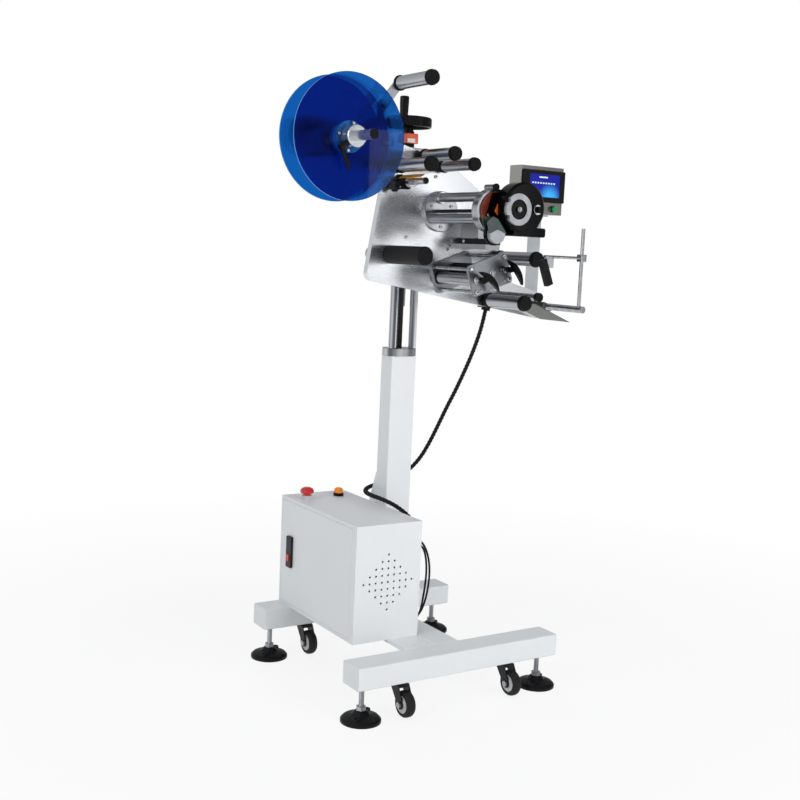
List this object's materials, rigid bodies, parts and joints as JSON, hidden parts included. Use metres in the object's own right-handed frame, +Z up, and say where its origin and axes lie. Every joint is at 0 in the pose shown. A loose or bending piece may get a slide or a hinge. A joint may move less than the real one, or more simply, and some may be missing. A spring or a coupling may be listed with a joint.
{
  "type": "bottle labelling machine",
  "caption": "Label applicator head on a screw-lift column and wheeled H base with a control cabinet: unwind reel, dancer, guide rollers, ribbon coder, drive unit, peel blade",
  "frame": {"origin": "on the floor, under the middle of the whole machine", "axes": "+Z up, +X along the base beams towards the peel blade, -Y towards the operator"},
  "size_m": [1, 0.65, 1.6635],
  "materials": {
    "front_beam": "satin powder coat",
    "rear_beam": "satin powder coat",
    "spine": "satin powder coat",
    "column": "satin powder coat",
    "lift_guides": "polished",
    "cabinet_body": "satin powder coat",
    "vent_panel": "satin powder coat",
    "cabinet_door": "satin powder coat",
    "cabinet_fittings": "matte",
    "main_cable": "matte",
    "loop_cables": "matte",
    "latch_handle": "matte",
    "latch_button": "gloss",
    "estop_button": "gloss",
    "carriage": "brushed",
    "position_indicator": "gloss",
    "lift_screw": "brushed",
    "handwheel": "gloss",
    "main_plate": "brushed",
    "guide_bars": "brushed",
    "star_knob": "matte",
    "dancer_arm": "brushed",
    "dancer_roller": "satin turned",
    "reel_shaft": "satin turned",
    "reel_disc_rear": "clear tinted",
    "reel_disc_front": "clear tinted",
    "reel_clamp_lever": "matte",
    "coder_mount": "satin turned",
    "coder_body": "gloss",
    "ribbon_reel": "brushed",
    "coder_platen": "satin turned",
    "drive_frame": "brushed",
    "drive_roller": "matte",
    "nip_roller": "satin turned",
    "nip_lever_lower": "gloss",
    "nip_lever_upper": "gloss",
    "drive_motors": "matte",
    "rewind_mandrel": "matte",
    "peel_blade": "brushed",
    "sensor_stand": "brushed",
    "sensor_head": "matte",
    "operator_panel": "brushed",
    "start_button": "gloss",
    "roller_upper_left": "satin turned",
    "roller_upper_middle": "satin turned",
    "roller_upper_right": "satin turned",
    "roller_lower_front": "satin turned",
    "roller_lower_back": "satin turned",
    "foot_front_left": "matte",
    "caster_fork_front_left": "black paint",
    "caster_wheel_front_left": "matte",
    "foot_front_right": "matte",
    "caster_fork_front_right": "black paint",
    "caster_wheel_front_right": "matte",
    "foot_rear_left": "matte",
    "caster_fork_rear_left": "black paint",
    "caster_wheel_rear_left": "matte",
    "foot_rear_right": "matte",
    "caster_fork_rear_right": "black paint",
    "caster_wheel_rear_right": "matte"
  },
  "bodies": {
    "base": {"front_beam": "front_beam", "rear_beam": "rear_beam", "spine": "spine", "column": "column", "lift_guides": "lift_guides", "cabinet_body": "cabinet_body", "vent_panel": "vent_panel", "cabinet_fittings": "cabinet_fittings", "main_cable": "main_cable", "loop_cables": "loop_cables"},
    "head": {"carriage": "carriage", "main_plate": "main_plate", "guide_bars": "guide_bars", "position_indicator": "position_indicator", "coder_mount": "coder_mount", "coder_body": "coder_body", "coder_platen": "coder_platen", "drive_frame": "drive_frame", "drive_motors": "drive_motors", "peel_blade": "peel_blade", "sensor_stand": "sensor_stand", "operator_panel": "operator_panel"},
    "lift_drive": {"lift_screw": "lift_screw", "handwheel": "handwheel"},
    "reel": {"reel_shaft": "reel_shaft", "reel_disc_rear": "reel_disc_rear"},
    "reel_front": {"reel_disc_front": "reel_disc_front"},
    "clamp_lever": {"reel_clamp_lever": "reel_clamp_lever"},
    "door": {"cabinet_door": "cabinet_door"},
    "door_handle": {"latch_handle": "latch_handle"},
    "door_button": {"latch_button": "latch_button"},
    "stop_button": {"estop_button": "estop_button"},
    "knob": {"star_knob": "star_knob"},
    "dancer": {"dancer_arm": "dancer_arm"},
    "dancer_roll": {"dancer_roller": "dancer_roller"},
    "ribbon": {"ribbon_reel": "ribbon_reel"},
    "drive_roll": {"drive_roller": "drive_roller"},
    "nip_roll": {"nip_roller": "nip_roller"},
    "lower_lever": {"nip_lever_lower": "nip_lever_lower"},
    "upper_lever": {"nip_lever_upper": "nip_lever_upper"},
    "mandrel": {"rewind_mandrel": "rewind_mandrel"},
    "sensor": {"sensor_head": "sensor_head"},
    "go_button": {"start_button": "start_button"},
    "foot_body_front_left": {"foot_front_left": "foot_front_left"},
    "fork_body_front_left": {"caster_fork_front_left": "caster_fork_front_left"},
    "wheel_body_front_left": {"caster_wheel_front_left": "caster_wheel_front_left"},
    "foot_body_front_right": {"foot_front_right": "foot_front_right"},
    "fork_body_front_right": {"caster_fork_front_right": "caster_fork_front_right"},
    "wheel_body_front_right": {"caster_wheel_front_right": "caster_wheel_front_right"},
    "foot_body_rear_left": {"foot_rear_left": "foot_rear_left"},
    "fork_body_rear_left": {"caster_fork_rear_left": "caster_fork_rear_left"},
    "wheel_body_rear_left": {"caster_wheel_rear_left": "caster_wheel_rear_left"},
    "foot_body_rear_right": {"foot_rear_right": "foot_rear_right"},
    "fork_body_rear_right": {"caster_fork_rear_right": "caster_fork_rear_right"},
    "wheel_body_rear_right": {"caster_wheel_rear_right": "caster_wheel_rear_right"},
    "guide_roll_upper_left": {"roller_upper_left": "roller_upper_left"},
    "guide_roll_upper_middle": {"roller_upper_middle": "roller_upper_middle"},
    "guide_roll_upper_right": {"roller_upper_right": "roller_upper_right"},
    "guide_roll_lower_front": {"roller_lower_front": "roller_lower_front"},
    "guide_roll_lower_back": {"roller_lower_back": "roller_lower_back"}
  },
  "joints": [
    {"name": "foot_level_front_left", "type": "slide", "parent": "base", "child": "foot_body_front_left", "axis": [0, 0, 1], "range_m": [-0.01, 0.012]},
    {"name": "caster_swivel_front_left", "type": "hinge", "parent": "base", "child": "fork_body_front_left", "pos_m": [-0.172, -0.265, 0.08], "axis": [0, 0, 1], "continuous": true},
    {"name": "wheel_roll_front_left", "type": "hinge", "parent": "fork_body_front_left", "child": "wheel_body_front_left", "pos_m": [-0.172, -0.297, 0.037], "axis": [1, 0, 0], "continuous": true},
    {"name": "foot_level_front_right", "type": "slide", "parent": "base", "child": "foot_body_front_right", "axis": [0, 0, 1], "range_m": [-0.01, 0.012]},
    {"name": "caster_swivel_front_right", "type": "hinge", "parent": "base", "child": "fork_body_front_right", "pos_m": [0.172, -0.265, 0.08], "axis": [0, 0, 1], "continuous": true},
    {"name": "wheel_roll_front_right", "type": "hinge", "parent": "fork_body_front_right", "child": "wheel_body_front_right", "pos_m": [0.172, -0.297, 0.037], "axis": [1, 0, 0], "continuous": true},
    {"name": "foot_level_rear_left", "type": "slide", "parent": "base", "child": "foot_body_rear_left", "axis": [0, 0, 1], "range_m": [-0.01, 0.012]},
    {"name": "caster_swivel_rear_left", "type": "hinge", "parent": "base", "child": "fork_body_rear_left", "pos_m": [-0.172, 0.265, 0.08], "axis": [0, 0, 1], "continuous": true},
    {"name": "wheel_roll_rear_left", "type": "hinge", "parent": "fork_body_rear_left", "child": "wheel_body_rear_left", "pos_m": [-0.172, 0.233, 0.037], "axis": [1, 0, 0], "continuous": true},
    {"name": "foot_level_rear_right", "type": "slide", "parent": "base", "child": "foot_body_rear_right", "axis": [0, 0, 1], "range_m": [-0.01, 0.012]},
    {"name": "caster_swivel_rear_right", "type": "hinge", "parent": "base", "child": "fork_body_rear_right", "pos_m": [0.172, 0.265, 0.08], "axis": [0, 0, 1], "continuous": true},
    {"name": "wheel_roll_rear_right", "type": "hinge", "parent": "fork_body_rear_right", "child": "wheel_body_rear_right", "pos_m": [0.172, 0.233, 0.037], "axis": [1, 0, 0], "continuous": true},
    {"name": "lift_slide", "type": "slide", "parent": "base", "child": "head", "axis": [0, 0, 1], "range_m": [-0.1, 0.1], "deforming": ["main_cable"]},
    {"name": "handwheel_turn", "type": "hinge", "parent": "head", "child": "lift_drive", "pos_m": [0, 0.08, 1.54], "axis": [0, 0, 1], "range_deg": [-7207.2, 7207.2]},
    {"name": "door_hinge", "type": "hinge", "parent": "base", "child": "door", "pos_m": [-0.24, -0.113, 0.315], "axis": [0, 0, 1], "range_deg": [0, 90]},
    {"name": "latch_turn", "type": "hinge", "parent": "door", "child": "door_handle", "pos_m": [-0.2502, 0.229, 0.3589], "axis": [0, 1, 0], "range_deg": [0, 40], "stiffness_Nm_per_rad": 0.05},
    {"name": "latch_press", "type": "slide", "parent": "door", "child": "door_button", "axis": [1, 0, 0], "range_m": [0, 0.002], "stiffness_N_per_m": 400},
    {"name": "stop_press", "type": "slide", "parent": "base", "child": "stop_button", "axis": [0, 0, -1], "range_m": [0, 0.005], "stiffness_N_per_m": 900},
    {"name": "knob_turn", "type": "hinge", "parent": "head", "child": "knob", "pos_m": [-0.085, -0.002, 1.372], "axis": [1, 0, 0], "range_deg": [-180, 180]},
    {"name": "dancer_swing", "type": "hinge", "parent": "head", "child": "dancer", "pos_m": [-0.203, 0.013, 1.482], "axis": [0, -1, 0], "range_deg": [-10, 45], "stiffness_Nm_per_rad": 1.2, "springref_deg": 22.92},
    {"name": "dancer_roll_spin", "type": "hinge", "parent": "dancer", "child": "dancer_roll", "pos_m": [-0.08, -0.07, 1.643], "axis": [0, 1, 0], "continuous": true},
    {"name": "reel_spin", "type": "hinge", "parent": "head", "child": "reel", "pos_m": [-0.335, -0.12, 1.468], "axis": [0, 1, 0], "continuous": true},
    {"name": "reel_front_slide", "type": "slide", "parent": "reel", "child": "reel_front", "axis": [0, 1, 0], "range_m": [-0.04, 0.04]},
    {"name": "clamp_lever_turn", "type": "hinge", "parent": "reel_front", "child": "clamp_lever", "pos_m": [-0.335, -0.204, 1.468], "axis": [-0.7986, 0, -0.6018], "range_deg": [0, 120]},
    {"name": "ribbon_spin", "type": "hinge", "parent": "head", "child": "ribbon", "pos_m": [0.11, -0.27, 1.317], "axis": [0, 1, 0], "continuous": true},
    {"name": "drive_roll_spin", "type": "hinge", "parent": "head", "child": "drive_roll", "pos_m": [0.14152, -0.06, 1.14874], "axis": [0, 1, 0], "continuous": true},
    {"name": "nip_roll_spin", "type": "hinge", "parent": "head", "child": "nip_roll", "pos_m": [0.08701, -0.06, 1.1289], "axis": [0, 1, 0], "continuous": true},
    {"name": "lower_lever_turn", "type": "hinge", "parent": "head", "child": "lower_lever", "pos_m": [0.08701, -0.17, 1.1289], "axis": [0, 1, 0], "range_deg": [-30, 30]},
    {"name": "upper_lever_turn", "type": "hinge", "parent": "head", "child": "upper_lever", "pos_m": [0.17347, -0.17, 1.16037], "axis": [0, 1, 0], "range_deg": [-30, 30]},
    {"name": "mandrel_spin", "type": "hinge", "parent": "head", "child": "mandrel", "pos_m": [-0.074, -0.07, 1.187], "axis": [0, 1, 0], "continuous": true},
    {"name": "sensor_height", "type": "slide", "parent": "head", "child": "sensor", "axis": [0, 0, 1], "range_m": [-0.06, 0.05]},
    {"name": "start_press", "type": "slide", "parent": "head", "child": "go_button", "axis": [0, 1, 0], "range_m": [0, 0.004], "stiffness_N_per_m": 400},
    {"name": "roller_upper_left_spin", "type": "hinge", "parent": "head", "child": "guide_roll_upper_left", "pos_m": [-0.062, -0.06, 1.427], "axis": [0, 1, 0], "continuous": true},
    {"name": "roller_upper_middle_spin", "type": "hinge", "parent": "head", "child": "guide_roll_upper_middle", "pos_m": [0.014, -0.06, 1.459], "axis": [0, 1, 0], "continuous": true},
    {"name": "roller_upper_right_spin", "type": "hinge", "parent": "head", "child": "guide_roll_upper_right", "pos_m": [0.078, -0.06, 1.436], "axis": [0, 1, 0], "continuous": true},
    {"name": "roller_lower_front_spin", "type": "hinge", "parent": "head", "child": "guide_roll_lower_front", "pos_m": [0.261, -0.06, 1.068], "axis": [0, 1, 0], "continuous": true},
    {"name": "roller_lower_back_spin", "type": "hinge", "parent": "head", "child": "guide_roll_lower_back", "pos_m": [0.29, -0.06, 1.191], "axis": [0, 1, 0], "continuous": true}
  ],
  "couplings": [
    {"joint": "handwheel_turn", "follows": "lift_slide", "rad_per_m": 1256.6}
  ]
}
